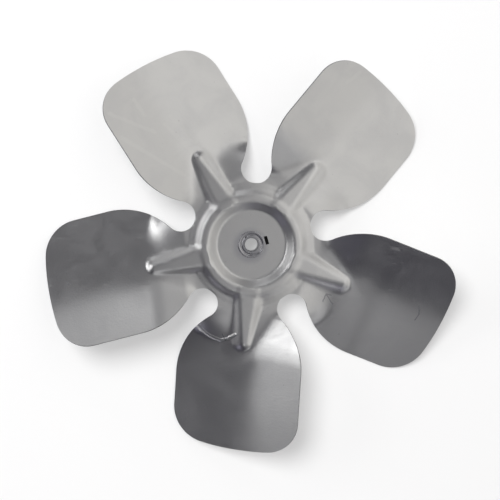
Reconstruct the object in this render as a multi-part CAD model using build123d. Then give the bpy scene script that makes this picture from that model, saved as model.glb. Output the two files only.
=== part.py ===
from build123d import *
import os
from math import cos, radians, sin, sqrt, tan

# Five-blade fan pressed from one aluminium sheet, with a turned hub staked into its dish
# and a socket set screw in the hub barrel.
# Frame: bore axis on Z, air leaves toward +Z, Z = 0 on the hub's seat under the dish.
# Sub-parts are shaped with the top of the flat pad at zero, then lifted by PAD_LEVEL.
# Lengths are millimetres and angles are degrees.

# Sheet and blade plan, seen along the axis
BLADE_COUNT = 5
FIRST_BLADE_ANGLE = 50.4
FAN_DIAMETER = 254.0
SHEET_THICKNESS = 1.0
LOW_SIDE_WIDTH = 41.3
HIGH_SIDE_WIDTH = 34.1
LOW_CORNER_RADIUS = 22.0
HIGH_CORNER_RADIUS = 20.0
SHOULDER_RADIUS = 44.0
SLOT_RADIUS = 9.3
SLOT_LAND = 4.5

# Blade form: two straight legs joined by a soft bend that opens out toward the tip
# From the pad the low side falls to its leg within an arc, and the high side folds up along a slant
LOW_LEG_PITCH = 20.0
HIGH_LEG_PITCH = 31.0
BEND_OFFSET = 5.0
BEND_DRIFT_START = 12.0
BEND_DRIFT_RUN = 40.0
ROOT_BEND_WIDTH = 3.5
TIP_BEND_WIDTH = 11.0
LOW_FALL_RUN = 20.0
LOW_FALL_CROWN = 18.0
LOW_FALL_ROUND = 14.0
LOW_FALL_SWEEP = 1.2
LOW_FALL_BEND = 0.12
HIGH_FOLD_ANGLE = 35.0
HIGH_FOLD_TURN = 57.4
HIGH_FOLD_CORNER = 18.0
HIGH_FOLD_START = 2.0
HIGH_RISE_RUN = 8.0

# Dish, ring and star ribs: the dish floor and the flat pad lie at one level
DISH_FLOOR_RADIUS = 21.6
RING_INNER_RUN = 4.9
RING_CREST_WIDTH = 3.7
RING_OUTER_RUN = 2.8
RING_HEIGHT = 4.3
RING_ROUND = 1.2
LAND_HEIGHT = 1.3
LAND_RUN = 4.0
PAD_MARGIN = 1.0
CREST_FALL = 6.0
RIB_WALL_ANGLE = 48.0
RIB_ROOT_HALF_WIDTH = 6.0
RIB_TIP_HALF_WIDTH = 2.2
RIB_REACH = 30.0

# Hub, drive slot and set screw
BORE_DIAMETER = 7.94
SPIGOT_WALL = 3.03
SPIGOT_CLEARANCE = 0.05
STAKE_OVERHANG = 1.25
STAKE_LIP_HEIGHT = 0.7
STAKE_GROOVE_INSET = 0.7
STAKE_GROOVE_DEPTH = 0.6
FLANGE_LEDGE = 5.0
HUB_FLANGE_THICKNESS = 3.0
BARREL_WALL = 6.03
BARREL_LENGTH = 10.0
BARREL_CHAMFER = 0.8
DRIVE_SLOT_GAP = 0.35
DRIVE_SLOT_ANGLE = 16.0
DRIVE_SLOT_WIDTH = 2.0
DRIVE_SLOT_LENGTH = 5.2
DRIVE_NOTCH_DEPTH = 2.2
SCREW_ANGLE = 106.0
SCREW_DIAMETER = 6.35
SCREW_LENGTH = 5.0
SCREW_RECESS = 0.4
SCREW_CLEARANCE = 0.05
SCREW_POINT_CHAMFER = 0.9
SOCKET_ACROSS_FLATS = 3.2
SOCKET_DEPTH = 2.4

TIP_RADIUS = FAN_DIAMETER / 2
RING_INNER_RADIUS = DISH_FLOOR_RADIUS + RING_INNER_RUN
RING_OUTER_RADIUS = RING_INNER_RADIUS + RING_CREST_WIDTH
RING_FOOT_RADIUS = RING_OUTER_RADIUS + RING_OUTER_RUN
LAND_RADIUS = RING_FOOT_RADIUS + LAND_RUN
PAD_APOTHEM = LAND_RADIUS + PAD_MARGIN
SLOT_CENTRE_RADIUS = RING_FOOT_RADIUS + SLOT_LAND + SLOT_RADIUS
RIB_TIP_RADIUS = RING_FOOT_RADIUS + RIB_REACH
SPIGOT_RADIUS = BORE_DIAMETER / 2 + SPIGOT_WALL
STAKE_LIP_RADIUS = SPIGOT_RADIUS + STAKE_OVERHANG
STAKE_GROOVE_RADIUS = SPIGOT_RADIUS - STAKE_GROOVE_INSET
BARREL_RADIUS = BORE_DIAMETER / 2 + BARREL_WALL
HUB_FLANGE_RADIUS = BARREL_RADIUS + FLANGE_LEDGE
DRIVE_SLOT_RADIUS = STAKE_LIP_RADIUS + DRIVE_SLOT_GAP + DRIVE_SLOT_WIDTH / 2
BLADE_STEP = 360.0 / BLADE_COUNT
BLADE_ANGLES = [FIRST_BLADE_ANGLE + BLADE_STEP * k for k in range(BLADE_COUNT)]
FORM_DEPTH = (LOW_SIDE_WIDTH + HIGH_SIDE_WIDTH) * tan(radians(HIGH_LEG_PITCH))
NECK_LENGTH = 40.0
SPAN_STEPS = 13
CHORD_STEPS = 8
DISH_UNDERSIDE = -SHEET_THICKNESS
FLANGE_UNDERSIDE = DISH_UNDERSIDE - HUB_FLANGE_THICKNESS
BARREL_END = FLANGE_UNDERSIDE - BARREL_LENGTH
PAD_LEVEL = -DISH_UNDERSIDE


def smooth_step(x):
    """Climbs from 0 to 1 with level ends while x goes from 0 to 1."""
    x = min(max(x, 0.0), 1.0)
    return x * x * (3.0 - 2.0 * x)


def soft_ramp(x, width):
    """Runs level before a bend and straight after it, with the bend spread over the width."""
    return 0.5 * (x + sqrt(x * x + width * width))


def soft_lower(a, b, width):
    """The lower of two heights, with the corner between them rounded."""
    near = max(width - abs(a - b), 0.0)
    return min(a, b) - near * near / (4 * width)


def blade_height(u, v):
    """Top of the sheet at u out along a blade's rib axis and v across it, toward the high edge."""
    reach = min(max((u - PAD_APOTHEM) / (TIP_RADIUS - PAD_APOTHEM), 0.0), 1.0)
    bend = ROOT_BEND_WIDTH + (TIP_BEND_WIDTH - ROOT_BEND_WIDTH) * reach
    off_crown = min(max(v + LOW_FALL_CROWN, -LOW_FALL_ROUND), LOW_FALL_ROUND)
    low_run = LOW_FALL_RUN - off_crown ** 2 / (2 * LOW_FALL_ROUND)
    swept = (max(u - PAD_APOTHEM, 0.0) / low_run) ** LOW_FALL_SWEEP
    low_share = soft_lower(swept, 1.0, LOW_FALL_BEND)
    turn = radians(HIGH_FOLD_TURN)
    past_fold = (u - PAD_APOTHEM - HIGH_FOLD_START) * cos(turn) + (v - HIGH_FOLD_CORNER) * sin(turn)
    fold = tan(radians(HIGH_FOLD_ANGLE)) * soft_ramp(past_fold, ROOT_BEND_WIDTH)
    high_share = smooth_step((u - PAD_APOTHEM) / HIGH_RISE_RUN)
    low_bend = BEND_OFFSET * smooth_step((u - PAD_APOTHEM - BEND_DRIFT_START) / BEND_DRIFT_RUN)
    low_leg = tan(radians(LOW_LEG_PITCH)) * soft_ramp(low_bend - v, bend)
    high_leg = tan(radians(HIGH_LEG_PITCH)) * soft_ramp(v - BEND_OFFSET, bend)
    return high_share * soft_lower(high_leg, fold, 2 * SHEET_THICKNESS) - low_share * low_leg


def blade_underside(u, v):
    """Underside of the sheet, one sheet thickness below its top along the surface normal."""
    d = 0.05
    rise_u = (blade_height(u + d, v) - blade_height(u - d, v)) / (2 * d)
    rise_v = (blade_height(u, v + d) - blade_height(u, v - d)) / (2 * d)
    return blade_height(u, v) - SHEET_THICKNESS * sqrt(1 + rise_u * rise_u + rise_v * rise_v)


def volume_under(height, depth, margin):
    """Everything to a depth below one face of a blade, past its plan by a margin."""
    first_u = PAD_APOTHEM - margin
    last_u = TIP_RADIUS + 1.0 + margin
    root_v = PAD_APOTHEM * tan(radians(BLADE_STEP / 2)) - SLOT_RADIUS / 2 + margin
    rows = []
    for i in range(SPAN_STEPS + 1):
        u = first_u + (last_u - first_u) * i / SPAN_STEPS
        narrow = max(0.0, 1.0 - (u - PAD_APOTHEM) / NECK_LENGTH) ** 2
        low_v = -(LOW_SIDE_WIDTH + 4.0 + margin) * (1.0 - narrow) - root_v * narrow
        high_v = (HIGH_SIDE_WIDTH + 4.0 + margin) * (1.0 - narrow) + root_v * narrow
        across = [low_v + (high_v - low_v) * j / CHORD_STEPS for j in range(CHORD_STEPS + 1)]
        rows.append([(u, v, height(u, v)) for v in across])
    chords = [Spline(*row) for row in rows]
    spans = [Spline(*[row[j] for row in rows]) for j in range(CHORD_STEPS + 1)]
    return Solid.extrude(Face.make_gordon_surface(spans, chords), (0, 0, -depth))


def shoulder(side, width):
    """Where a shoulder leaves the slot end and where it meets the blade's straight side."""
    slot_u = SLOT_CENTRE_RADIUS * cos(radians(BLADE_STEP / 2))
    slot_v = SLOT_CENTRE_RADIUS * sin(radians(BLADE_STEP / 2))
    centre_v = width - SHOULDER_RADIUS
    reach = SLOT_RADIUS + SHOULDER_RADIUS
    centre_u = slot_u + sqrt(reach ** 2 - (slot_v - centre_v) ** 2)
    share = SLOT_RADIUS / reach
    leave = (slot_u + (centre_u - slot_u) * share, side * (slot_v + (centre_v - slot_v) * share))
    return leave, (centre_u, side * width)


def blade_outline():
    """Plan of one blade from the pad edge to the tip circle."""
    low_leave, low_side = shoulder(-1, LOW_SIDE_WIDTH)
    high_leave, high_side = shoulder(1, HIGH_SIDE_WIDTH)
    low_tip = (sqrt(TIP_RADIUS ** 2 - LOW_SIDE_WIDTH ** 2), -LOW_SIDE_WIDTH)
    high_tip = (sqrt(TIP_RADIUS ** 2 - HIGH_SIDE_WIDTH ** 2), HIGH_SIDE_WIDTH)
    root_v = PAD_APOTHEM * tan(radians(BLADE_STEP / 2))
    edges = [
        Line((PAD_APOTHEM, root_v), (PAD_APOTHEM, -root_v)),
        Line((PAD_APOTHEM, -root_v), low_leave),
        RadiusArc(low_leave, low_side, -SHOULDER_RADIUS),
        Line(low_side, low_tip),
        ThreePointArc(low_tip, (TIP_RADIUS, 0), high_tip),
        Line(high_tip, high_side),
        RadiusArc(high_side, high_leave, -SHOULDER_RADIUS),
        Line(high_leave, (PAD_APOTHEM, root_v)),
    ]
    plan = make_face(Wire(edges))
    corners = plan.vertices().sort_by(Axis.X)[-2:].sort_by(Axis.Y)
    plan = fillet(corners[0], LOW_CORNER_RADIUS)
    high_corner = plan.vertices().sort_by_distance((high_tip[0], high_tip[1], 0))[0]
    return fillet(high_corner, HIGH_CORNER_RADIUS)


def slot_ends():
    """Round ends of the slots between neighbouring blades, as one plan."""
    places = PolarLocations(SLOT_CENTRE_RADIUS, BLADE_COUNT, FIRST_BLADE_ANGLE + BLADE_STEP / 2)
    return Sketch() + places * Circle(SLOT_RADIUS)


def rib(inset):
    """Star rib from the ring to its round tip. A set inset gives the hollow under the sheet."""
    slope = tan(radians(RIB_WALL_ANGLE))
    foot = -2.0 * RING_HEIGHT
    tip_u = RIB_TIP_RADIUS - RIB_TIP_HALF_WIDTH
    sections = []
    for u, half_width in ((RING_INNER_RADIUS, RIB_ROOT_HALF_WIDTH), (tip_u, RIB_TIP_HALF_WIDTH)):
        crest = RING_HEIGHT - inset - tan(radians(CREST_FALL)) * (u - RING_INNER_RADIUS)
        crest_half = half_width - inset * tan(radians(RIB_WALL_ANGLE / 2))
        foot_half = crest_half + (crest - foot) / slope
        corners = [(-foot_half, foot), (foot_half, foot), (crest_half, crest), (-crest_half, crest)]
        sections.append(make_face(Polyline(*[(u, v, z) for v, z in corners], close=True)))
    tip = Pos(tip_u, 0, (foot + crest) / 2) * Cone(foot_half, crest_half, crest - foot)
    return loft(sections, ruled=True) + tip


def centre_volume(drop):
    """Everything below the dish, ring and pad, or below their underside when a drop is given."""
    outer_crest = RING_HEIGHT - tan(radians(CREST_FALL)) * RING_CREST_WIDTH
    slope_in = RING_HEIGHT / RING_INNER_RUN
    slope_out = (outer_crest - LAND_HEIGHT) / RING_OUTER_RUN
    lean_in = drop * (sqrt(1 + slope_in ** 2) - 1) / slope_in
    lean_out = drop * (sqrt(1 + slope_out ** 2) - 1) / slope_out
    rim = 2.0 * PAD_APOTHEM
    bed = -FORM_DEPTH - drop
    points = [
        (0, -drop),
        (DISH_FLOOR_RADIUS + lean_in, -drop),
        (RING_INNER_RADIUS + lean_in, RING_HEIGHT - drop),
        (RING_OUTER_RADIUS - lean_out, outer_crest - drop),
        (RING_FOOT_RADIUS - lean_out, LAND_HEIGHT - drop),
        (LAND_RADIUS, -drop),
        (rim, -drop),
        (rim, bed),
        (0, bed),
    ]
    section = make_face(Polyline(*[(r, 0, z) for r, z in points], close=True))
    bends = [v for v in section.vertices() if 1.0 < v.X < LAND_RADIUS - 1.0]
    return revolve(section if drop else fillet(bends, RING_ROUND), Axis.Z)


def sheet_between(top, underside, plan):
    """The sheet that lies between two volumes, trimmed to a plan."""
    cutter = Pos(0, 0, -FORM_DEPTH / 2) * extrude(plan, FORM_DEPTH, dir=(0, 0, 1))
    return (top - underside) & cutter


def drive_slot():
    """Plan of the slot that keys the sheet to the hub flange."""
    place = Rot(0, 0, DRIVE_SLOT_ANGLE) * Pos(DRIVE_SLOT_RADIUS, 0)
    return place * Rectangle(DRIVE_SLOT_WIDTH, DRIVE_SLOT_LENGTH)


def fan_sheet():
    """The pressed sheet: dish, ring, star ribs and blades in one thickness."""
    blade_top = volume_under(blade_height, FORM_DEPTH, 0.0) + rib(0.0)
    blade_under = volume_under(blade_underside, 2 * FORM_DEPTH, 2.0) + rib(SHEET_THICKNESS)
    slots = slot_ends()
    plan = blade_outline() - Rot(0, 0, -FIRST_BLADE_ANGLE) * slots
    blade = sheet_between(blade_top, blade_under, plan)
    centre_top = centre_volume(0.0)
    centre_under = centre_volume(SHEET_THICKNESS)
    for angle in BLADE_ANGLES:
        centre_top += Rot(0, 0, angle) * rib(0.0)
        centre_under += Rot(0, 0, angle) * rib(SHEET_THICKNESS)
    pad_turn = Rot(0, 0, FIRST_BLADE_ANGLE + BLADE_STEP / 2)
    pad_plan = pad_turn * RegularPolygon(PAD_APOTHEM, BLADE_COUNT, major_radius=False)
    pad_plan = pad_plan - slots - Circle(SPIGOT_RADIUS + SPIGOT_CLEARANCE) - drive_slot()
    sheet = sheet_between(centre_top, centre_under, pad_plan)
    return sheet + [Rot(0, 0, angle) * blade for angle in BLADE_ANGLES]


def screw_frame():
    """Place of the set screw: its axis runs outward along the frame's Z."""
    middle = FLANGE_UNDERSIDE - BARREL_LENGTH / 2
    return Rot(0, 0, SCREW_ANGLE) * Pos(0, 0, middle) * Rot(0, 90, 0)


def hub():
    """Turned hub: barrel and flange under the dish, spigot staked over the sheet above it."""
    bore = BORE_DIAMETER / 2
    lip_top = STAKE_LIP_HEIGHT
    groove_half = STAKE_GROOVE_DEPTH / 2
    points = [
        (bore, lip_top),
        (STAKE_GROOVE_RADIUS - groove_half, lip_top),
        (STAKE_GROOVE_RADIUS, lip_top - STAKE_GROOVE_DEPTH),
        (STAKE_GROOVE_RADIUS + groove_half, lip_top),
        (STAKE_LIP_RADIUS - STAKE_LIP_HEIGHT / 2, lip_top),
        (STAKE_LIP_RADIUS, STAKE_LIP_HEIGHT / 2),
        (STAKE_LIP_RADIUS, 0),
        (SPIGOT_RADIUS, 0),
        (SPIGOT_RADIUS, DISH_UNDERSIDE),
        (HUB_FLANGE_RADIUS, DISH_UNDERSIDE),
        (HUB_FLANGE_RADIUS, FLANGE_UNDERSIDE),
        (BARREL_RADIUS, FLANGE_UNDERSIDE),
        (BARREL_RADIUS, BARREL_END + BARREL_CHAMFER),
        (BARREL_RADIUS - BARREL_CHAMFER, BARREL_END),
        (bore, BARREL_END),
    ]
    body = revolve(make_face(Polyline(*[(r, 0, z) for r, z in points], close=True)), Axis.Z)
    notch = Pos(0, 0, DISH_UNDERSIDE) * extrude(drive_slot(), DRIVE_NOTCH_DEPTH, dir=(0, 0, -1))
    hole_radius = SCREW_DIAMETER / 2 + SCREW_CLEARANCE
    tapped_hole = screw_frame() * Pos(0, 0, BARREL_RADIUS) * Cylinder(hole_radius, 2 * BARREL_RADIUS)
    return body - notch - tapped_hole


def set_screw():
    """Socket set screw, backed off so that its point clears the bore."""
    outer_end = BARREL_RADIUS - SCREW_RECESS
    body = Pos(0, 0, outer_end - SCREW_LENGTH / 2) * Cylinder(SCREW_DIAMETER / 2, SCREW_LENGTH)
    body = chamfer(body.edges().sort_by(Axis.Z)[0], SCREW_POINT_CHAMFER)
    socket = extrude(RegularPolygon(SOCKET_ACROSS_FLATS / 2, 6, major_radius=False), -SOCKET_DEPTH)
    return screw_frame() * (body - Pos(0, 0, outer_end) * socket)


os.makedirs("parts", exist_ok=True)
for name, shape in (("blade_sheet", fan_sheet()), ("hub", hub()), ("set_screw", set_screw())):
    export_step(Pos(0, 0, PAD_LEVEL) * shape, f"parts/{name}.step")
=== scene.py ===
import bmesh
import bpy
import numpy as np
from math import atan2, cos, hypot, pi, radians, sin, sqrt, tan
from mathutils import Matrix, Vector
from mathutils.geometry import delaunay_2d_cdt


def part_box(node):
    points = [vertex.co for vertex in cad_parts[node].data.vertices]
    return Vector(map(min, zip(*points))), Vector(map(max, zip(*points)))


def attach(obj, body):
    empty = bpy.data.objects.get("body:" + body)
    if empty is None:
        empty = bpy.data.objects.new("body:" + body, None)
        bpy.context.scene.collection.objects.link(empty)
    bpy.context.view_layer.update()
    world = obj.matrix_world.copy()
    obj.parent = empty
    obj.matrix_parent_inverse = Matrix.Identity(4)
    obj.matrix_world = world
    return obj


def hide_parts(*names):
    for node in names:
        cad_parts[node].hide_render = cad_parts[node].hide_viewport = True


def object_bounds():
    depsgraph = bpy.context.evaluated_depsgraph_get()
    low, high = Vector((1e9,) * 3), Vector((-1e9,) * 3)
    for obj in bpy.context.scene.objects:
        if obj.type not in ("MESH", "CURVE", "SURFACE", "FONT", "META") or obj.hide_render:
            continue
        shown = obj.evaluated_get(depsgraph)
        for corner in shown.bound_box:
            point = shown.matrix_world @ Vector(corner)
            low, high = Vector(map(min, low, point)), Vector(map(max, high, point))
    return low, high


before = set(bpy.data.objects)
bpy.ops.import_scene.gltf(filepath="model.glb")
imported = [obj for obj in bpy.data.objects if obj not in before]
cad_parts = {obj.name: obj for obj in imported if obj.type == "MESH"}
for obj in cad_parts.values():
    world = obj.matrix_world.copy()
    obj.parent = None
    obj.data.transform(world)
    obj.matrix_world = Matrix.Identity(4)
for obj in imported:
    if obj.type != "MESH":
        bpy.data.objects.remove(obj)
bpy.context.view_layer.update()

# Pressed fan sheet: one blank of 1 mm aluminium, sheared to the outline of five blades and pressed with
# a dished centre, a raised ring and five star ribs. The blades are bent to their pitch, and the hub is
# staked into the hole at the middle. Sizes are in millimetres and angles in degrees.
MM = 0.001
BLADE_COUNT = 5
FIRST_BLADE_ANGLE = 50.4
BLADE_STEP = 360.0 / BLADE_COUNT
TIP_RADIUS = 127.0
SHEET_THICKNESS = 1.0
LOW_SIDE_WIDTH = 41.3
HIGH_SIDE_WIDTH = 34.1
LOW_CORNER_RADIUS = 22.0
HIGH_CORNER_RADIUS = 20.0
SHOULDER_RADIUS = 44.0
DISH_FLOOR_RADIUS = 21.6
RING_INNER_RADIUS = 26.5
RING_OUTER_RADIUS = 30.2
RING_FOOT_RADIUS = 33.0
RING_HEIGHT = 4.3
LAND_HEIGHT = 1.3
LAND_RADIUS = 37.0
PAD_APOTHEM = 38.0
SLOT_RADIUS = 9.3
SLOT_CENTRE_RADIUS = 46.8
LOW_LEG_PITCH = 20.0
HIGH_LEG_PITCH = 31.0
BEND_OFFSET = 5.0
BEND_DRIFT_START = 12.0
BEND_DRIFT_RUN = 40.0
ROOT_BEND_WIDTH = 3.5
TIP_BEND_WIDTH = 11.0
LOW_FALL_RUN = 20.0
LOW_FALL_CROWN = 18.0
LOW_FALL_ROUND = 20.0
LOW_FALL_SWEEP = 1.2
LOW_FALL_BEND = 0.30
CREST_FALL = 6.0
HIGH_FOLD_ANGLE = 33.0
HIGH_FOLD_TURN = 60.0
HIGH_FOLD_CORNER = 18.0
HIGH_FOLD_START = 2.0
HIGH_RISE_RUN = 8.0
RIB_WALL_ANGLE = 44.0
RIB_ROOT_HALF_WIDTH = 6.0
RIB_TIP_HALF_WIDTH = 2.2
RIB_TIP_RADIUS = 63.0
PRESS_ROUND = 2.0
RING_ROUND = 0.9
SPIGOT_HOLE_RADIUS = 7.05
DRIVE_SLOT_RADIUS = 9.6
DRIVE_SLOT_ANGLE = 16.0
DRIVE_SLOT_WIDTH = 2.0
DRIVE_SLOT_LENGTH = 5.2
PAD_LEVEL = SHEET_THICKNESS


def smooth_step(x):
    """Climbs from 0 to 1 with level ends while x goes from 0 to 1."""
    x = np.clip(x, 0.0, 1.0)
    return x * x * (3.0 - 2.0 * x)


def soft_ramp(x, width):
    """Level before a bend and straight after it, with the bend spread over the width."""
    return 0.5 * (x + np.sqrt(x * x + width * width))


def soft_max(a, b, width):
    """The higher of two surfaces, with the corner between them rounded."""
    near = np.maximum(width - np.abs(a - b), 0.0)
    return np.maximum(a, b) + near * near / (4.0 * width)


def soft_min(a, b, width):
    """The lower of two surfaces, with the corner between them rounded."""
    return -soft_max(-a, -b, width)


def blade_height(u, v):
    """Height of a bare blade at u out along its rib axis and v across it, toward the high edge."""
    reach = np.clip((u - PAD_APOTHEM) / (TIP_RADIUS - PAD_APOTHEM), 0.0, 1.0)
    bend = ROOT_BEND_WIDTH + (TIP_BEND_WIDTH - ROOT_BEND_WIDTH) * reach
    off_crown = np.clip(v + LOW_FALL_CROWN, -LOW_FALL_ROUND, LOW_FALL_ROUND)
    low_run = LOW_FALL_RUN - off_crown ** 2 / (2 * LOW_FALL_ROUND)
    low_bend = BEND_OFFSET * smooth_step((u - PAD_APOTHEM - BEND_DRIFT_START) / BEND_DRIFT_RUN)
    low_leg = tan(radians(LOW_LEG_PITCH)) * soft_ramp(low_bend - v, bend)
    high_leg = tan(radians(HIGH_LEG_PITCH)) * soft_ramp(v - BEND_OFFSET, bend)
    fall = np.maximum(u - PAD_APOTHEM, 0.0) / low_run
    low_share = soft_min(fall ** LOW_FALL_SWEEP, 1.0, LOW_FALL_BEND)
    turn = radians(HIGH_FOLD_TURN)
    past_fold = (u - PAD_APOTHEM - HIGH_FOLD_START) * cos(turn) + (v - HIGH_FOLD_CORNER) * sin(turn)
    fold = tan(radians(HIGH_FOLD_ANGLE)) * soft_ramp(past_fold, ROOT_BEND_WIDTH)
    high_share = smooth_step((u - PAD_APOTHEM) / HIGH_RISE_RUN)
    past_root = smooth_step((u - RIB_TIP_RADIUS) / (TIP_BEND_WIDTH + HIGH_RISE_RUN))
    folded = soft_min(high_leg, fold, 2 * SHEET_THICKNESS)
    return high_share * (folded + (high_leg - folded) * past_root) - low_share * low_leg


def rib_height(u, v):
    """Height of the star rib: a crest with sloping walls and a round tip, far below zero elsewhere."""
    tip_u = RIB_TIP_RADIUS - RIB_TIP_HALF_WIDTH
    along = np.clip((u - RING_INNER_RADIUS) / (tip_u - RING_INNER_RADIUS), 0.0, 1.0)
    half_width = RIB_ROOT_HALF_WIDTH + (RIB_TIP_HALF_WIDTH - RIB_ROOT_HALF_WIDTH) * along
    crest = RING_HEIGHT - tan(radians(CREST_FALL)) * (np.hypot(u, v) - RING_INNER_RADIUS)
    beyond = np.maximum(u - tip_u, 0.0)
    wall = crest + tan(radians(RIB_WALL_ANGLE)) * (half_width - np.hypot(beyond, v))
    height = soft_min(wall, crest, PRESS_ROUND)
    return np.where(u > RING_INNER_RADIUS, height, -4.0 * RING_HEIGHT)


def sheet_height(u, v):
    """Top of the pressed sheet over the flat pad, in the frame of one blade."""
    r = np.hypot(u, v)
    outer_crest = RING_HEIGHT - tan(radians(CREST_FALL)) * (RING_OUTER_RADIUS - RING_INNER_RADIUS)
    inner_slope = RING_HEIGHT / (RING_INNER_RADIUS - DISH_FLOOR_RADIUS)
    outer_slope = (outer_crest - LAND_HEIGHT) / (RING_FOOT_RADIUS - RING_OUTER_RADIUS)
    land_slope = LAND_HEIGHT / (LAND_RADIUS - RING_FOOT_RADIUS)
    outer_wall = LAND_HEIGHT + outer_slope * (RING_FOOT_RADIUS - r)
    land = np.minimum(land_slope * (LAND_RADIUS - r), 2 * outer_slope * (LAND_RADIUS - r))
    outer_wall = soft_max(outer_wall, land, PRESS_ROUND)
    walls = np.minimum(inner_slope * (r - DISH_FLOOR_RADIUS), outer_wall)
    crest = RING_HEIGHT - tan(radians(CREST_FALL)) * (r - RING_INNER_RADIUS)
    ring = soft_min(walls, crest, RING_ROUND)
    crest_middle = (RING_INNER_RADIUS + RING_OUTER_RADIUS) / 2
    base = np.where(r < crest_middle, 0.0, blade_height(u, v))
    foot_round = np.where(r < crest_middle, RING_ROUND, PRESS_ROUND)
    return soft_max(base, soft_max(ring, rib_height(u, v), PRESS_ROUND), foot_round)


def sheet_normal(u, v):
    """Upward unit normal of the pressed sheet."""
    step = 0.05
    rise_u = (sheet_height(u + step, v) - sheet_height(u - step, v)) / (2 * step)
    rise_v = (sheet_height(u, v + step) - sheet_height(u, v - step)) / (2 * step)
    normal = np.stack([-rise_u, -rise_v, np.ones_like(rise_u)], axis=1)
    return normal / np.linalg.norm(normal, axis=1)[:, None]


def arc(centre, radius, start, end, step):
    """Points along an arc between two angles in radians, without its last point."""
    count = max(2, int(abs(end - start) * radius / step))
    angles = np.linspace(start, end, count + 1)[:-1]
    return [(centre[0] + radius * cos(a), centre[1] + radius * sin(a)) for a in angles]


def run(start, end, step):
    """Points along a straight run, without its last point."""
    count = max(1, int(hypot(end[0] - start[0], end[1] - start[1]) / step))
    return [(start[0] + (end[0] - start[0]) * i / count, start[1] + (end[1] - start[1]) * i / count)
            for i in range(count)]


def half_outline(width, corner_radius, step):
    """One side of a blade's plan, from the slot's inmost point out to the tip on the rib axis."""
    half_step = radians(BLADE_STEP / 2)
    slot = (SLOT_CENTRE_RADIUS * cos(half_step), SLOT_CENTRE_RADIUS * sin(half_step))
    centre_v = width - SHOULDER_RADIUS
    reach = SLOT_RADIUS + SHOULDER_RADIUS
    shoulder = (slot[0] + sqrt(reach ** 2 - (slot[1] - centre_v) ** 2), centre_v)
    leave = atan2(shoulder[1] - slot[1], shoulder[0] - slot[0])
    points = arc(slot, SLOT_RADIUS, half_step - pi, leave, step)
    points += arc(shoulder, SHOULDER_RADIUS, leave + pi, pi / 2, step)
    corner_v = width - corner_radius
    corner = (sqrt((TIP_RADIUS - corner_radius) ** 2 - corner_v ** 2), corner_v)
    corner_angle = atan2(corner_v, corner[0])
    points += run((shoulder[0], width), (corner[0], width), step)
    points += arc(corner, corner_radius, pi / 2, corner_angle, step)
    points += arc((0.0, 0.0), TIP_RADIUS, corner_angle, 0.0, step)
    return points


# Spacing of the sheet's mesh: fine on the ring and the ribs, where the sheet turns sharply.
EDGE_POINT_STEP = 0.9
HOLE_POINT_STEP = 0.4
RAY_POINTS = 46
POLAR_SPOKES = 37
DISH_ROW_STEP = 1.2
DISH_ROWS_END = 19.4
RING_ROW_STEP = 0.62
RING_ROWS_START = 19.8
RING_ROWS_END = 35.0
ROW_GRID_START = 30.0
RIB_ROW_STEP = 0.68
RIB_ROWS_HALF_WIDTH = 9.5
RIB_ROWS_PAST_TIP = 4.0
ROOT_ROW_STEP = 1.25
ROOT_ROWS_START = 35.2
ROOT_ROWS_END = 84.0
BLADE_ROW_STEP = 1.75
BLADE_ROWS_START = 85.0
ROW_GAP = 0.6
EDGE_GAP = 0.3
PLAN_TOLERANCE = 1e-5
SEAM_GAP = 0.001


def sector_plan():
    """Boundary of one blade's share of the sheet, between the two rays through its slots."""
    high = half_outline(HIGH_SIDE_WIDTH, HIGH_CORNER_RADIUS, EDGE_POINT_STEP)
    low = half_outline(LOW_SIDE_WIDTH, LOW_CORNER_RADIUS, EDGE_POINT_STEP)
    edge = [(u, -v) for u, v in low] + [(TIP_RADIUS, 0.0)] + high[::-1]
    half_step = radians(BLADE_STEP / 2)
    ray = np.linspace(SPIGOT_HOLE_RADIUS, SLOT_CENTRE_RADIUS - SLOT_RADIUS, RAY_POINTS)[:-1]
    low_ray = [(r * cos(half_step), -r * sin(half_step)) for r in ray]
    high_ray = [(r * cos(half_step), r * sin(half_step)) for r in ray[::-1]]
    hole = arc((0.0, 0.0), SPIGOT_HOLE_RADIUS, half_step, -half_step, HOLE_POINT_STEP)[1:]
    return low_ray, edge, high_ray, hole


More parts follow.
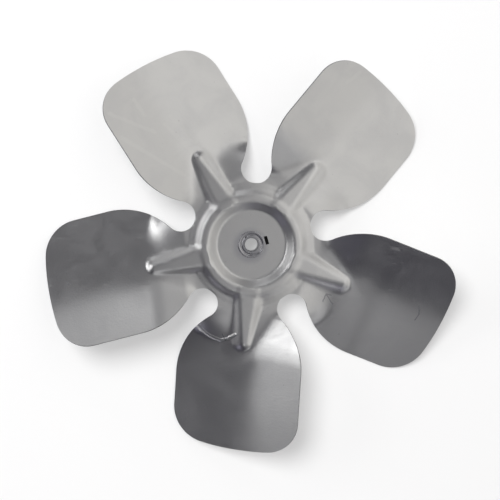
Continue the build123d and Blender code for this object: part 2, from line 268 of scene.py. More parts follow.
def filling_points(boundary):
    """Points inside the boundary: polar rows on dish and ring, finer rows on the rib, even rows beyond."""
    half_step = radians(BLADE_STEP / 2)
    spokes = np.linspace(-half_step, half_step, POLAR_SPOKES)[1:-1]
    dish_radii = np.arange(SPIGOT_HOLE_RADIUS + EDGE_POINT_STEP, DISH_ROWS_END, DISH_ROW_STEP)
    ring_radii = np.arange(RING_ROWS_START, RING_ROWS_END, RING_ROW_STEP)
    radii = np.concatenate([dish_radii, ring_radii])
    polar = np.array([(r * cos(a), r * sin(a)) for r in radii for a in spokes])

    def rows(step, keep):
        u = np.arange(ROW_GRID_START, TIP_RADIUS, step * sqrt(3) / 2)
        v = np.arange(-LOW_SIDE_WIDTH, HIGH_SIDE_WIDTH + step, step)
        grid_u, grid_v = np.meshgrid(u, v, indexing="ij")
        grid_v = grid_v + (np.arange(len(u)) % 2)[:, None] * step / 2
        points = np.stack([grid_u.ravel(), grid_v.ravel()], axis=1)
        return points[keep(points[:, 0], points[:, 1])]

    def near_rib(u, v, gap):
        return (u < RIB_TIP_RADIUS + RIB_ROWS_PAST_TIP + gap) & (np.abs(v) < RIB_ROWS_HALF_WIDTH + gap)

    def on_rib(u, v):
        return (np.hypot(u, v) > ROOT_ROWS_START) & near_rib(u, v, 0.0)

    def on_root(u, v):
        return (np.hypot(u, v) > ROOT_ROWS_START) & (u < ROOT_ROWS_END) & ~near_rib(u, v, ROW_GAP)

    def on_blade(u, v):
        return u > BLADE_ROWS_START

    points = np.concatenate([polar, rows(RIB_ROW_STEP, on_rib), rows(ROOT_ROW_STEP, on_root),
                             rows(BLADE_ROW_STEP, on_blade)])
    start = np.array(boundary)
    end = np.roll(start, -1, axis=0)
    side = end - start
    inside = np.zeros(len(points), bool)
    nearest = np.full(len(points), 1e9)
    for a, b, s in zip(start, end, side):
        crosses = (a[1] > points[:, 1]) != (b[1] > points[:, 1])
        at = a[0] + (points[:, 1] - a[1]) * s[0] / (s[1] if s[1] else 1e-12)
        inside ^= crosses & (points[:, 0] < at)
        share = np.clip(((points - a) @ s) / (s @ s), 0.0, 1.0)
        nearest = np.minimum(nearest, np.linalg.norm(points - a - share[:, None] * s, axis=1))
    return points[inside & (nearest > EDGE_GAP)]


def sheet_mesh():
    """Closed mesh of the whole sheet, with edges sheared square to its surface."""
    low_ray, edge, high_ray, hole = sector_plan()
    boundary = low_ray + edge + high_ray + hole
    plan = [Vector(p) for p in boundary] + [Vector(p) for p in filling_points(boundary)]
    inside_only = 1
    made = delaunay_2d_cdt(plan, [], [list(range(len(boundary)))], inside_only, PLAN_TOLERANCE)
    corners, _, faces, sources, _, _ = made
    flat = np.array([tuple(p) for p in corners])
    index_of = {old: new for new, olds in enumerate(sources) for old in olds}
    first = len(low_ray)
    inmost = first + len(edge) + len(high_ray) - 1
    outer_wall = [index_of[i] for i in range(first, first + len(edge))]
    hole_wall = [index_of[i % len(boundary)] for i in range(inmost, len(boundary) + 1)]
    normal = sheet_normal(flat[:, 0], flat[:, 1])
    top = np.column_stack([flat, sheet_height(flat[:, 0], flat[:, 1])])
    under = top - SHEET_THICKNESS * normal
    middle_to_plan = SHEET_THICKNESS / 2 * normal * (1.0, 1.0, 0.0)
    top += middle_to_plan
    under += middle_to_plan
    low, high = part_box("blade_sheet")
    shell = bmesh.new()

    def corner(turn, point):
        """A corner of the mesh in its blade's place, kept inside the solid's box."""
        at = turn @ (Vector(point) * MM) + Vector((0.0, 0.0, PAD_LEVEL * MM))
        return shell.verts.new([min(max(at[i], low[i]), high[i]) for i in range(3)])

    for k in range(BLADE_COUNT):
        turn = Matrix.Rotation(radians(FIRST_BLADE_ANGLE + BLADE_STEP * k), 3, "Z")
        upper = [corner(turn, p) for p in top]
        lower = [corner(turn, p) for p in under]
        for f in faces:
            shell.faces.new([upper[i] for i in f]).smooth = True
            shell.faces.new([lower[i] for i in reversed(f)]).smooth = True
        for wall in (outer_wall, hole_wall):
            for i, j in zip(wall, wall[1:]):
                cut = shell.faces.new([upper[i], lower[i], lower[j], upper[j]])
                cut.smooth = True
                cut.material_index = 1
                for rim in cut.edges:
                    ends = set(rim.verts)
                    rim.smooth = ends in ({upper[i], lower[i]}, {upper[j], lower[j]})
    bmesh.ops.remove_doubles(shell, verts=shell.verts, dist=SEAM_GAP * MM)
    mesh = bpy.data.meshes.new("fan_sheet")
    shell.to_mesh(mesh)
    shell.free()
    return mesh


def place(tree, kind, inputs=None, **options):
    """Adds a node, sets its options, and links or sets its inputs by name or number."""
    node = tree.nodes.new(kind)
    for option, value in options.items():
        setattr(node, option, value)
    for key, value in (inputs or {}).items():
        if isinstance(value, bpy.types.NodeSocket):
            tree.links.new(value, node.inputs[key])
        else:
            node.inputs[key].default_value = value
    return node


def noise(tree, at, scale, detail):
    """Cloudy noise at a place, as a value and as a colour."""
    return place(tree, "ShaderNodeTexNoise", {"Vector": at, "Scale": scale, "Detail": detail}).outputs


def faded(tree, value, start, end, easing="LINEAR"):
    """A mask that is 0 before the start and 1 past the end."""
    reach = {"Value": value, "From Min": start, "From Max": end}
    return place(tree, "ShaderNodeMapRange", reach, interpolation_type=easing).outputs[0]


def product(tree, first, second):
    """Two values multiplied."""
    return place(tree, "ShaderNodeMath", {0: first, 1: second}, operation="MULTIPLY").outputs[0]


def larger(tree, first, second):
    """The larger of two values."""
    return place(tree, "ShaderNodeMath", {0: first, 1: second}, operation="MAXIMUM").outputs[0]


def summed(tree, first, second, factor):
    """The first value plus the second one times a factor."""
    terms = {0: second, 1: factor, 2: first}
    return place(tree, "ShaderNodeMath", terms, operation="MULTIPLY_ADD").outputs[0]


def blended(tree, low, high, share):
    """A number that goes from low to high with a share between 0 and 1."""
    ends = {"Value": share, "To Min": low, "To Max": high}
    return place(tree, "ShaderNodeMapRange", ends).outputs[0]


def laid_over(tree, colour, tint, mask):
    """A colour with a tint laid over it as far as the mask says."""
    layers = {0: mask, 6: colour, 7: (*tint, 1.0)}
    return place(tree, "ShaderNodeMix", layers, data_type="RGBA").outputs[2]


def in_plan(tree, at):
    """A place seen from above, without its height."""
    return place(tree, "ShaderNodeVectorMath", {0: at, 1: (1.0, 1.0, 0.0)}, operation="MULTIPLY").outputs[0]


def from_axis(tree, flat):
    """Distance of a place in plan from the bore's axis."""
    return place(tree, "ShaderNodeVectorMath", {0: flat}, operation="LENGTH").outputs["Value"]


def raised(tree, height, strength, depth, under=None):
    """A normal bumped by a height of some depth in millimetres, over another bump where one is given."""
    relief = {"Strength": strength, "Distance": depth * MM, "Height": height}
    if under is not None:
        relief["Normal"] = under
    return place(tree, "ShaderNodeBump", relief).outputs[0]


GRAIN_TURN = 18.0
GRAIN_STRETCH = (0.03, 1.0, 1.0)
SCRATCH_LIES = ((38.0, (0.035, 1.3, 1.0)), (-24.0, (0.05, 1.7, 1.0)), (81.0, (0.06, 1.5, 1.0)))


def handling_marks():
    """Node group: rolling grain, fine scratches and greasy haze that bare metal gathers in handling."""
    group = bpy.data.node_groups.new("handling_marks", "ShaderNodeTree")
    group.interface.new_socket("Place", in_out="INPUT", socket_type="NodeSocketVector")
    for name in ("Grain Scale", "Scratch Scale", "Haze Scale"):
        socket = group.interface.new_socket(name, in_out="INPUT", socket_type="NodeSocketFloat")
        socket.default_value = 1.0
    for name in ("Grain", "Scratches", "Haze"):
        group.interface.new_socket(name, in_out="OUTPUT", socket_type="NodeSocketFloat")
    given = group.nodes.new("NodeGroupInput").outputs
    result = group.nodes.new("NodeGroupOutput").inputs

    def scaled(factor):
        """The place, counted in larger or smaller steps."""
        by = {0: given["Place"], "Scale": given[factor]}
        return place(group, "ShaderNodeVectorMath", by, operation="SCALE").outputs[0]

    def streaked(vector, turn, stretch):
        """A place turned in plan and stretched, so that noise on it runs in streaks."""
        lie = {"Vector": vector, "Rotation": (0.0, 0.0, radians(turn)), "Scale": stretch}
        return place(group, "ShaderNodeMapping", lie).outputs[0]

    grain_place = streaked(scaled("Grain Scale"), GRAIN_TURN, GRAIN_STRETCH)
    group.links.new(noise(group, grain_place, 1.0, 3.0)[0], result["Grain"])

    scratch_place = scaled("Scratch Scale")
    scratches = 0.0
    for turn, stretch in SCRATCH_LIES:
        lines = noise(group, streaked(scratch_place, turn, stretch), 1.0, 1.0)[0]
        scratches = larger(group, faded(group, lines, 0.66, 0.74, "SMOOTHSTEP"), scratches)
    patches = faded(group, noise(group, scratch_place, 0.11, 2.0)[0], 0.48, 0.62)
    group.links.new(product(group, scratches, patches), result["Scratches"])

    haze_look = {"Scale": 0.045, "Detail": 5.0, "Roughness": 0.6, "Distortion": 0.6}
    smears = place(group, "ShaderNodeTexNoise", {"Vector": scaled("Haze Scale"), **haze_look}).outputs[0]
    group.links.new(faded(group, smears, 0.38, 0.68, "SMOOTHSTEP"), result["Haze"])
    return group


MARKS = handling_marks()


def marked_metal(name, grain_scale, scratch_scale, haze_scale):
    """A metal with no surface values yet: its tree, shader, marks and place in millimetres."""
    material = bpy.data.materials.new(name)
    material.use_nodes = True
    tree = material.node_tree
    shader = tree.nodes["Principled BSDF"]
    shader.inputs["Metallic"].default_value = 1.0
    metres = place(tree, "ShaderNodeTexCoord").outputs["Object"]
    at = place(tree, "ShaderNodeVectorMath", {0: metres, "Scale": 1.0 / MM}, operation="SCALE").outputs[0]
    scales = {"Grain Scale": grain_scale, "Scratch Scale": scratch_scale, "Haze Scale": haze_scale}
    marks = place(tree, "ShaderNodeGroup", node_tree=MARKS)
    for key, value in scales.items():
        marks.inputs[key].default_value = value
    tree.links.new(at, marks.inputs["Place"])
    return material, tree, shader, marks.outputs, at


def stroke(tree, at, start, end, width):
    """Mask of one straight mark between two points of the plan, in millimetres, fading over its width."""
    begin = Vector((*start, 0.0))
    side = Vector((*end, 0.0)) - begin
    per_length = side / side.length_squared
    off = place(tree, "ShaderNodeVectorMath", {0: at, 1: begin}, operation="SUBTRACT").outputs[0]
    share = place(tree, "ShaderNodeVectorMath", {0: off, 1: per_length}, operation="DOT_PRODUCT")
    held = place(tree, "ShaderNodeClamp", {"Value": share.outputs["Value"]}).outputs[0]
    along = place(tree, "ShaderNodeVectorMath", {0: side, "Scale": held}, operation="SCALE").outputs[0]
    gap = place(tree, "ShaderNodeVectorMath", {0: off, 1: along}, operation="DISTANCE").outputs["Value"]
    return faded(tree, gap, width, 0.25 * width, "SMOOTHSTEP")


def strokes(tree, at, lines, width):
    """Mask of several straight marks together."""
    total = 0.0
    for start, end in lines:
        total = larger(tree, stroke(tree, at, start, end, width), total)
    return total


# Marks on the upper face: pale scuffs, nicks in painted shade, and a crease pressed up at one blade's root.
# Painted shade darkens the dish round the hub, and the metal is duller where the press has drawn it out.
SCUFF_WIDTH = 1.7
SCUFFS = (((-84.0, 79.0), (-58.0, 69.0)), ((-77.0, 65.0), (-40.0, 43.0)), ((-48.5, 79.0), (-24.0, 54.0)),
          ((-52.0, 74.0), (-28.0, 50.0)), ((-70.0, 88.0), (-64.0, 79.0)), ((58.0, 99.0), (66.0, 105.0)),
          ((80.0, 82.0), (85.0, 76.0)), ((85.0, -0.6), (88.5, -1.4)))
NICK_WIDTH = 0.6
NICKS = (((47.0, -30.0), (51.5, -36.5)), ((47.0, -30.0), (45.2, -34.5)), ((47.0, -30.0), (50.5, -30.4)),
         ((104.0, -37.0), (104.4, -42.0)), ((104.4, -42.0), (102.3, -46.0)), ((-17.0, -55.0), (-15.0, -58.5)),
         ((-15.0, -58.5), (-13.4, -55.5)), ((-112.0, -22.0), (-110.5, -24.0)))
CREASE_WIDTH = 1.3
CREASE_CORNERS = ((-33.5, -48.3), (-29.5, -52.4), (-24.6, -55.8), (-17.6, -58.8), (-13.5, -57.6),
                  (-9.1, -54.7))
CREASE = tuple(zip(CREASE_CORNERS, CREASE_CORNERS[1:]))
CREASE_HEIGHT = 0.4
GRAIN_DEPTH = 0.04
PIT_DEPTH = 0.04
# Painted shade round the hub's foot: none outside the first radius, full inside the second.
HUB_SHADE_EDGE = 12.5
HUB_SHADE_FULL = 8.0
DRAWN_EDGE = 64.0
DRAWN_FULL = 42.0
CLEAN_ALUMINIUM = (0.655, 0.655, 0.65)
HAZED_ALUMINIUM = (0.625, 0.625, 0.625)
# Colour of the painted shade round the hub's foot:
PAINTED_HUB_SHADE = (0.52, 0.52, 0.54)
SPECK_SHADE = (0.50, 0.50, 0.50)
# Colour of the painted shade in the nicks:
PAINTED_NICK_SHADE = (0.38, 0.38, 0.40)
SCUFF_SHINE = (0.70, 0.70, 0.69)
# Painted shade: the cut edge's colours, far darker than the face.
PAINTED_EDGE_SHADE = (0.15, 0.15, 0.16)
PAINTED_EDGE_SHADE_STREAK = (0.24, 0.24, 0.25)


def satin_aluminium():
    """Mill-finish sheet: fine rolling grain, light scratches and finger haze over a satin base."""
    material, tree, shader, marks, at = marked_metal("satin_aluminium", 2.2, 1.0, 1.0)
    level = in_plan(tree, at)
    shaky = {0: noise(tree, level, 0.35, 2.0)["Color"], 1: (1.6, 1.6, 0.0), 2: level}
    flat = place(tree, "ShaderNodeVectorMath", shaky, operation="MULTIPLY_ADD").outputs[0]
    normal = place(tree, "ShaderNodeTexCoord").outputs["Normal"]
    facing_up = place(tree, "ShaderNodeSeparateXYZ", {0: normal}).outputs["Z"]
    upper = faded(tree, facing_up, 0.0, 0.2)
    scuffs = product(tree, strokes(tree, flat, SCUFFS, SCUFF_WIDTH), upper)
    # The nicks are dents in the bump and roughness, and painted shade darkens their colour.
    nicks = product(tree, strokes(tree, flat, NICKS, NICK_WIDTH), upper)
    crease = product(tree, strokes(tree, flat, CREASE, CREASE_WIDTH), upper)
    radius = from_axis(tree, flat)
    # Painted shade: the dish darkens toward the hub's foot.
    hub_shade = faded(tree, radius, HUB_SHADE_EDGE, HUB_SHADE_FULL, "SMOOTHSTEP")
    specks = faded(tree, noise(tree, at, 0.55, 4.0)[0], 0.72, 0.76)
    colour = laid_over(tree, (*CLEAN_ALUMINIUM, 1.0), HAZED_ALUMINIUM, marks["Haze"])
    for tint, mask in ((PAINTED_HUB_SHADE, hub_shade), (SPECK_SHADE, specks), (PAINTED_NICK_SHADE, nicks)):
        colour = laid_over(tree, colour, tint, mask)
    colour = laid_over(tree, colour, SCUFF_SHINE, product(tree, scuffs, 0.6))
    tree.links.new(colour, shader.inputs["Base Color"])
    drawn = faded(tree, radius, DRAWN_EDGE, DRAWN_FULL, "SMOOTHSTEP")
    rough = summed(tree, blended(tree, 0.27, 0.32, marks["Haze"]), drawn, 0.10)
    for mask, share in ((marks["Grain"], 0.05), (marks["Scratches"], 0.10), (scuffs, 0.08), (nicks, 0.15)):
        rough = summed(tree, rough, mask, share)
    tree.links.new(rough, shader.inputs["Roughness"])
    relief = summed(tree, marks["Grain"], nicks, -0.8)
    relief = summed(tree, relief, marks["Scratches"], -0.5)
    grained = raised(tree, relief, 0.14, GRAIN_DEPTH)
    pitted = raised(tree, noise(tree, at, 0.9, 3.0)[0], 1.0, PIT_DEPTH, grained)
    creased = raised(tree, crease, 1.0, CREASE_HEIGHT, pitted)
    tree.links.new(creased, shader.inputs["Normal"])
    return material


def sheared_aluminium_and_shade():
    """Cut edge of the sheet: torn, dull and streaked across by the die, and painted dark as shade."""
    material, tree, shader, marks, _ = marked_metal("sheared_aluminium_and_shade", 3.0, 1.5, 2.0)
    # Painted shade: the cut edges are coloured nearly black, with lighter streaks along the grain.
    colour = laid_over(tree, (*PAINTED_EDGE_SHADE, 1.0), PAINTED_EDGE_SHADE_STREAK, marks["Grain"])
    tree.links.new(colour, shader.inputs["Base Color"])
    tree.links.new(blended(tree, 0.45, 0.60, marks["Haze"]), shader.inputs["Roughness"])
    return material


def without(piece, *cutters):
    """Cuts other meshes out of a piece."""
    for mesh in cutters:
        cutter = bpy.data.objects.new("cutter", mesh)
        bpy.context.scene.collection.objects.link(cutter)
        cut = piece.modifiers.new("cut", "BOOLEAN")
        cut.operation = "DIFFERENCE"
        cut.solver = "EXACT"
        cut.object = cutter
        bpy.context.view_layer.update()
        made = bpy.data.meshes.new_from_object(piece.evaluated_get(bpy.context.evaluated_depsgraph_get()))
        piece.modifiers.remove(cut)
        bpy.data.objects.remove(cutter)
        piece.data = made


def drive_slot(low, high):
    """Block the size of the drive slot between two heights, in millimetres."""
    block = bmesh.new()
    bmesh.ops.create_cube(block, size=MM)
    bmesh.ops.scale(block, vec=(DRIVE_SLOT_WIDTH, DRIVE_SLOT_LENGTH, high - low), verts=block.verts)
    bmesh.ops.translate(block, vec=(DRIVE_SLOT_RADIUS * MM, 0.0, (low + high) / 2 * MM), verts=block.verts)
    turn = Matrix.Rotation(radians(DRIVE_SLOT_ANGLE), 3, "Z")
    bmesh.ops.rotate(block, cent=(0.0, 0.0, 0.0), matrix=turn, verts=block.verts)
    mesh = bpy.data.meshes.new("drive_slot")
    block.to_mesh(mesh)
    block.free()
    return mesh


sheet_piece = bpy.data.objects.new("fan_sheet", sheet_mesh())
sheet_piece.data.materials.append(satin_aluminium())
sheet_piece.data.materials.append(sheared_aluminium_and_shade())
bpy.context.scene.collection.objects.link(sheet_piece)
without(sheet_piece, drive_slot(PAD_LEVEL - 2 * SHEET_THICKNESS, PAD_LEVEL + 2 * SHEET_THICKNESS))
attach(sheet_piece, "root")
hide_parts("blade_sheet")

# Hub: turned from steel bar, with a barrel and a flange behind the dish and a bore for the motor shaft.
# Its spigot stands up through the sheet and is staked over into a rounded lip that grips the edge.
BORE_RADIUS = 3.97
SPIGOT_RADIUS = 7.0
LIP_RADIUS = 8.25
LIP_TOP = 1.7
LIP_ROUND = 0.42
LIP_POINTS = 9
STAKE_GROOVE_START = 5.3
STAKE_GROOVE_WIDTH = 1.9
STAKE_GROOVE_DEPTH = 0.6
STAKE_GROOVE_POINTS = 17
FLANGE_RADIUS = 15.0
FLANGE_UNDERSIDE = -3.0
BARREL_RADIUS = 10.0
BARREL_END = -13.0
BARREL_CHAMFER = 0.8
EDGE_BREAK = 0.25
NOTCH_DEPTH = 2.2
# Painted shade fills the drive recess within these radii and heights.
NOTCH_REACH = (8.0, 12.5)
NOTCH_FADE = 0.5
NOTCH_MOUTH = (-0.05, -0.4)
NOTCH_BELOW = (-2.9, -2.5)
SCREW_ANGLE = 106.0
SCREW_HOLE_RADIUS = 3.225
HUB_SIDES = 128
HUB_SHARP_ANGLE = 32.0
DRILL_SIDES = 48
TOOL_RING_DEPTH = 0.05
CLEAN_STEEL = (0.50, 0.50, 0.52)
HAZED_STEEL = (0.40, 0.40, 0.42)
# Colour of the painted shade in the drive recess:
PAINTED_NOTCH_SHADE = (0.02, 0.02, 0.02)


def hub_profile():
    """Half section of the hub as radius and height, from the bore's top edge round to its lower one."""
    points = [(BORE_RADIUS, LIP_TOP - 3 * EDGE_BREAK), (BORE_RADIUS + EDGE_BREAK, LIP_TOP - EDGE_BREAK)]
    for share in np.linspace(0.0, 1.0, STAKE_GROOVE_POINTS):
        dip = STAKE_GROOVE_DEPTH * (0.5 - 0.5 * cos(2 * pi * share))
        lean = EDGE_BREAK * (1.0 - share)
        points.append((STAKE_GROOVE_START + STAKE_GROOVE_WIDTH * share, LIP_TOP - lean - dip))
    centre = (LIP_RADIUS - LIP_ROUND, LIP_TOP - LIP_ROUND)
    for a in np.linspace(pi / 2, 0.0, LIP_POINTS):
        points.append((centre[0] + LIP_ROUND * cos(a), centre[1] + LIP_ROUND * sin(a)))
    points += [(LIP_RADIUS, PAD_LEVEL), (SPIGOT_RADIUS, PAD_LEVEL), (SPIGOT_RADIUS, 0.0)]
    points += [(FLANGE_RADIUS - EDGE_BREAK, 0.0), (FLANGE_RADIUS, -EDGE_BREAK)]
    points += [(FLANGE_RADIUS, FLANGE_UNDERSIDE + EDGE_BREAK), (FLANGE_RADIUS - EDGE_BREAK, FLANGE_UNDERSIDE)]
    points += [(BARREL_RADIUS + EDGE_BREAK, FLANGE_UNDERSIDE), (BARREL_RADIUS, FLANGE_UNDERSIDE - EDGE_BREAK)]
    points += [(BARREL_RADIUS, BARREL_END + BARREL_CHAMFER), (BARREL_RADIUS - BARREL_CHAMFER, BARREL_END)]
    points += [(BORE_RADIUS + EDGE_BREAK, BARREL_END), (BORE_RADIUS, BARREL_END + EDGE_BREAK)]
    return points


def hub_mesh():
    """The hub's section turned once round its axis."""
    section = hub_profile()
    turned = bmesh.new()
    rings = []
    for k in range(HUB_SIDES):
        a = 2 * pi * k / HUB_SIDES
        rings.append([turned.verts.new((r * cos(a) * MM, r * sin(a) * MM, z * MM)) for r, z in section])
    for here, there in zip(rings, rings[1:] + rings[:1]):
        for i in range(len(section)):
            j = (i + 1) % len(section)
            turned.faces.new([here[i], here[j], there[j], there[i]]).smooth = True
    bmesh.ops.recalc_face_normals(turned, faces=turned.faces)
    mesh = bpy.data.meshes.new("hub")
    turned.to_mesh(mesh)
    turned.free()
    return mesh


def tapped_hole():
    """Drill the size of the set screw's hole, from the bore out through the barrel's wall."""
    drill = bmesh.new()
    bmesh.ops.create_cone(drill, cap_ends=True, segments=DRILL_SIDES, radius1=SCREW_HOLE_RADIUS * MM,
                          radius2=SCREW_HOLE_RADIUS * MM, depth=2 * BARREL_RADIUS * MM)
    middle = (FLANGE_UNDERSIDE + BARREL_END) / 2
    lie = Matrix.Translation((0.0, 0.0, middle * MM)) @ Matrix.Rotation(radians(SCREW_ANGLE), 4, "Z")
    lie = lie @ Matrix.Translation((BARREL_RADIUS * MM, 0.0, 0.0)) @ Matrix.Rotation(pi / 2, 4, "Y")
    bmesh.ops.transform(drill, matrix=lie, verts=drill.verts)
    mesh = bpy.data.meshes.new("tapped_hole")
    drill.to_mesh(mesh)
    drill.free()
    return mesh


def turned_steel():
    """Plain turned steel: fine tool rings, a little oil haze, and painted shade deep in the drive recess."""
    material, tree, shader, marks, at = marked_metal("turned_steel", 3.0, 2.0, 4.0)
    height = place(tree, "ShaderNodeSeparateXYZ", {0: at}).outputs["Z"]
    radius = from_axis(tree, in_plan(tree, at))
    # Painted shade: the walls of the drive recess are coloured near black.
    notch_shade = faded(tree, height, *NOTCH_MOUTH)
    notch_shade = product(tree, notch_shade, faded(tree, radius, NOTCH_REACH[1] + NOTCH_FADE, NOTCH_REACH[1]))
    notch_shade = product(tree, notch_shade, faded(tree, radius, NOTCH_REACH[0] - NOTCH_FADE, NOTCH_REACH[0]))
    notch_shade = product(tree, notch_shade, faded(tree, height, *NOTCH_BELOW))
    colour = laid_over(tree, (*CLEAN_STEEL, 1.0), HAZED_STEEL, marks["Haze"])
    colour = laid_over(tree, colour, PAINTED_NOTCH_SHADE, notch_shade)
    tree.links.new(colour, shader.inputs["Base Color"])
    rough = summed(tree, blended(tree, 0.22, 0.34, marks["Haze"]), marks["Scratches"], 0.10)
    tree.links.new(rough, shader.inputs["Roughness"])
    feed = place(tree, "ShaderNodeCombineXYZ", {0: radius, 1: height}).outputs[0]
    rings = noise(tree, feed, 4.5, 2.0)[0]
    tree.links.new(raised(tree, rings, 0.25, TOOL_RING_DEPTH), shader.inputs["Normal"])
    return material


hub_piece = bpy.data.objects.new("hub_turned", hub_mesh())
hub_piece.data.materials.append(turned_steel())
bpy.context.scene.collection.objects.link(hub_piece)
without(hub_piece, drive_slot(-NOTCH_DEPTH, SHEET_THICKNESS / 2), tapped_hole())
hub_piece.data.set_sharp_from_angle(angle=radians(HUB_SHARP_ANGLE))
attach(hub_piece, "root")
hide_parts("hub")

# Set screw: a socket screw of black oxide steel, screwed into the barrel's side to lock the fan on the shaft.
# It is a bought part behind the dish, and the solid is shown as it is.
DARK_OXIDE = (0.06, 0.06, 0.065)
WORN_OXIDE = (0.14, 0.14, 0.15)


def black_oxide():
    """Blackened steel, rubbed a little brighter where it has been handled."""
    material, tree, shader, marks, _ = marked_metal("black_oxide", 4.0, 3.0, 6.0)
    colour = laid_over(tree, (*DARK_OXIDE, 1.0), WORN_OXIDE, marks["Haze"])
    tree.links.new(colour, shader.inputs["Base Color"])
    rough = summed(tree, blended(tree, 0.36, 0.50, marks["Grain"]), marks["Scratches"], 0.10)
    tree.links.new(rough, shader.inputs["Roughness"])
    return material


screw_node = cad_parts["set_screw"]
screw_node.data.materials.clear()
screw_node.data.materials.append(black_oxide())

# Floor: a plain pale table top that the fan lies on, level with the lowest corners of its blades.
# It looks white from above and in the metal, takes the fan's soft shadow, and is clear from below.
# Sizes and distances from here on are in metres.
FLOOR_HALF_WIDTH = 8.0
FLOOR_GLOW = 0.33
FLOOR_COLOUR = 0.55
floor_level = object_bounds()[0].z
floor_corners = [(x * FLOOR_HALF_WIDTH, y * FLOOR_HALF_WIDTH, floor_level)
                 for x, y in ((-1, -1), (1, -1), (1, 1), (-1, 1))]
floor_mesh = bpy.data.meshes.new("floor")
floor_mesh.from_pydata(floor_corners, [], [(0, 1, 2, 3)])
floor_material = bpy.data.materials.new("pale_floor")
floor_material.use_nodes = True
tree = floor_material.node_tree
tree.nodes.remove(tree.nodes["Principled BSDF"])
path = place(tree, "ShaderNodeLightPath").outputs
seen = larger(tree, path["Is Camera Ray"], path["Is Glossy Ray"])
seen = larger(tree, seen, path["Is Transmission Ray"])
strength = product(tree, seen, FLOOR_GLOW)
glow = place(tree, "ShaderNodeEmission", {"Color": (1.0, 1.0, 1.0, 1.0), "Strength": strength})
lit = place(tree, "ShaderNodeBsdfDiffuse", {"Color": (FLOOR_COLOUR, FLOOR_COLOUR, FLOOR_COLOUR, 1.0)})
both = place(tree, "ShaderNodeAddShader", {0: glow.outputs[0], 1: lit.outputs[0]})
clear = place(tree, "ShaderNodeBsdfTransparent")
from_below = place(tree, "ShaderNodeNewGeometry").outputs["Backfacing"]
one_sided = place(tree, "ShaderNodeMixShader", {0: from_below, 1: both.outputs[0], 2: clear.outputs[0]})
tree.links.new(one_sided.outputs[0], tree.nodes["Material Output"].inputs["Surface"])
floor_mesh.materials.append(floor_material)
floor = bpy.data.objects.new("floor", floor_mesh)
bpy.context.scene.collection.objects.link(floor)

# Studio light: a dim room with a wide soft bank on the right and smaller ones round it and overhead,
# and one lamp high on the upper left that throws the floor shadows.
ROOM_LEVEL = 0.03
WARM = (1.02, 1.0, 0.955)
PLAIN = (1.0, 1.0, 1.0)
COOL = (0.97, 0.93, 1.28)
SOFT_BANKS = (
    # azimuth, elevation, full within, gone beyond, level, tint
    (8.0, 25.0, 46.0, 60.0, 0.69, WARM),
    (0.0, 81.0, 8.0, 52.0, 0.275, PLAIN),
    (107.0, 22.0, 8.0, 16.0, 1.35, PLAIN),
    (72.0, 36.0, 10.0, 18.0, 0.42, PLAIN),
    (150.0, 28.0, 7.0, 13.0, 3.3, PLAIN),
    (174.0, 26.0, 7.0, 14.0, 2.10, PLAIN),
    (252.0, 55.0, 6.0, 12.0, 0.95, PLAIN),
    (294.0, 23.0, 10.0, 20.0, 0.56, PLAIN),
    (222.0, 9.0, 8.0, 16.0, 0.25, COOL),
    (272.0, 4.0, 8.0, 16.0, 0.18, COOL),
)
SHADOW_LAMP_AZIMUTH = 132.0
SHADOW_LAMP_ELEVATION = 63.0
SHADOW_LAMP_DISTANCE = 2.0
SHADOW_LAMP_SIZE = 1.0
SHADOW_LAMP_POWER = 34.0


def toward(azimuth, elevation):
    """Unit vector at an azimuth, counted from +X toward +Y, and an elevation, in degrees."""
    a, e = radians(azimuth), radians(elevation)
    return Vector((cos(a) * cos(e), sin(a) * cos(e), sin(e)))


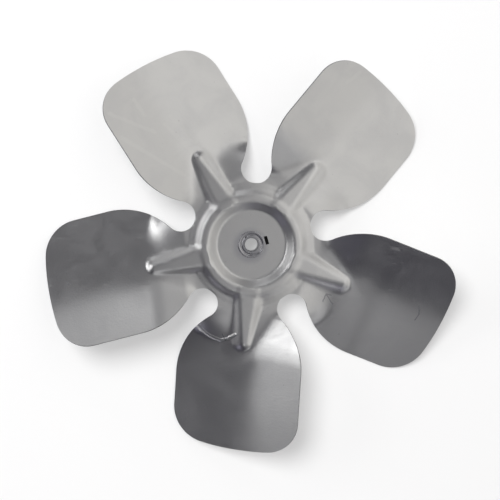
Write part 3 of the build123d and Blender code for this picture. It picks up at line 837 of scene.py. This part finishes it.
world = bpy.data.worlds.new("studio")
bpy.context.scene.world = world
world.use_nodes = True
tree = world.node_tree
direction = place(tree, "ShaderNodeTexCoord").outputs["Generated"]
light = ROOM_LEVEL * Vector(COOL)
for azimuth, elevation, full, gone, level, tint in SOFT_BANKS:
    aim = toward(azimuth, elevation)
    facing = place(tree, "ShaderNodeVectorMath", {0: direction, 1: aim}, operation="DOT_PRODUCT")
    reach = {"Value": facing.outputs["Value"], "From Min": cos(radians(gone)), "From Max": cos(radians(full)),
             "To Max": level}
    bank = place(tree, "ShaderNodeMapRange", reach, interpolation_type="SMOOTHSTEP").outputs[0]
    lit_so_far = {0: bank, 1: tint, 2: light}
    light = place(tree, "ShaderNodeVectorMath", lit_so_far, operation="MULTIPLY_ADD").outputs[0]
tree.links.new(light, tree.nodes["Background"].inputs["Color"])

lamp_side = toward(SHADOW_LAMP_AZIMUTH, SHADOW_LAMP_ELEVATION)
shadow_lamp = bpy.data.objects.new("shadow_lamp", bpy.data.lights.new("shadow_lamp", "AREA"))
shadow_lamp.data.shape = "DISK"
shadow_lamp.data.size = SHADOW_LAMP_SIZE
shadow_lamp.data.energy = SHADOW_LAMP_POWER
shadow_lamp.location = lamp_side * SHADOW_LAMP_DISTANCE
shadow_lamp.rotation_euler = lamp_side.to_track_quat("Z", "Y").to_euler()
shadow_lamp.visible_glossy = False
bpy.context.scene.collection.objects.link(shadow_lamp)

# Camera: looks down on the fan from 0.7 m, leaning a little toward the upper left.
# Its lens gives the photo's scale, and its shift sets the bore right of and above the picture's middle.
CAMERA_DISTANCE = 0.70
CAMERA_LEAN = 2.84
CAMERA_LEAN_TOWARD = 130.5
IMAGE_SIZE = 500
MM_PER_PIXEL = 0.6117
BORE_PIXEL = (1.4, 5.4)
camera = bpy.data.objects.new("camera", bpy.data.cameras.new("camera"))
bpy.context.scene.collection.objects.link(camera)
bpy.context.scene.camera = camera
back = toward(CAMERA_LEAN_TOWARD, 90.0 - CAMERA_LEAN)
right = Vector((1.0, 0.0, 0.0))
right = (right - back * right.dot(back)).normalized()
camera_place = Vector((0.0, 0.0, PAD_LEVEL * MM)) + back * CAMERA_DISTANCE
camera_turn = Matrix((right, back.cross(right), back)).transposed().to_4x4()
camera.matrix_world = Matrix.Translation(camera_place) @ camera_turn
camera.data.lens = camera.data.sensor_width * CAMERA_DISTANCE / (MM_PER_PIXEL * MM * IMAGE_SIZE)
camera.data.shift_x = -BORE_PIXEL[0] / IMAGE_SIZE
camera.data.shift_y = -BORE_PIXEL[1] / IMAGE_SIZE
bpy.context.scene.view_settings.view_transform = "Standard"
